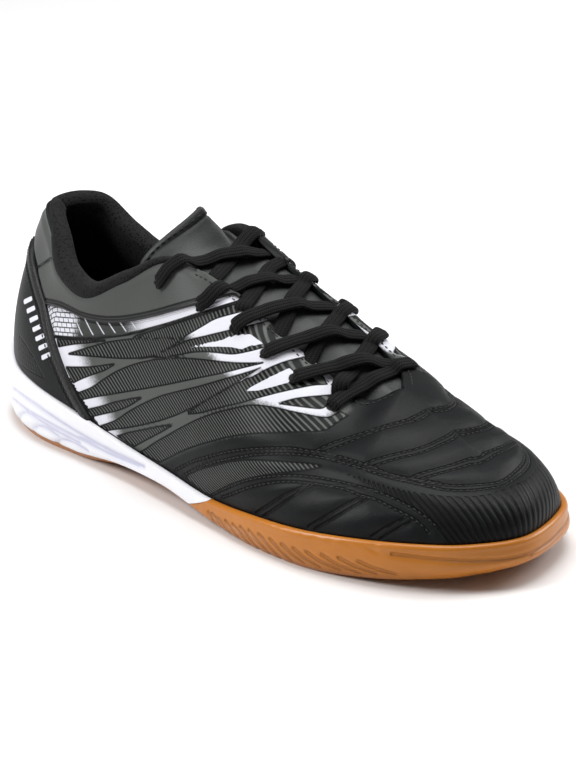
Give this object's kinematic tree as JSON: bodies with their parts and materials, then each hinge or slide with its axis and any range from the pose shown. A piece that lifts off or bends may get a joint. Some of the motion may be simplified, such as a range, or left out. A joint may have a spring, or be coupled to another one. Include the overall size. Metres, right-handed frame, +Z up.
{
  "type": "indoor court shoe",
  "caption": "Low-cut indoor court shoe for the right foot: black laced leather upper with padded collar and tongue, white foam heel wedge and gum rubber cup sole.",
  "frame": {"origin": "on the floor, under the middle of the shoe's length and width", "axes": "+X from the heel to the toe, +Y towards the medial side (the left, on a right foot), +Z up"},
  "size_m": [0.295, 0.1051, 0.1048],
  "materials": {
    "gum_rubber": "semi-gloss gum rubber",
    "white_foam": "moulded foam skin, satin white with pale lilac facets",
    "black_leather": "satin charcoal synthetic leather, embossed ribs, white printed fields",
    "black_textile": "matt black mesh",
    "lace_textile": "black flat braid"
  },
  "bodies": {
    "root": {"outsole": "gum_rubber", "midsole": "white_foam", "insole": "black_textile", "upper": "black_leather", "toe_cap": "black_leather", "heel_counter": "black_leather", "counter_strip": "black_leather", "collar_panel": "black_leather", "collar_lining": "black_textile", "tongue": "black_leather", "lace_crossing_1": "lace_textile", "lace_crossing_2": "lace_textile", "lace_crossing_3": "lace_textile", "lace_crossing_4": "lace_textile", "lace_crossing_5": "lace_textile", "lace_bar": "lace_textile"}
  },
  "joints": []
}
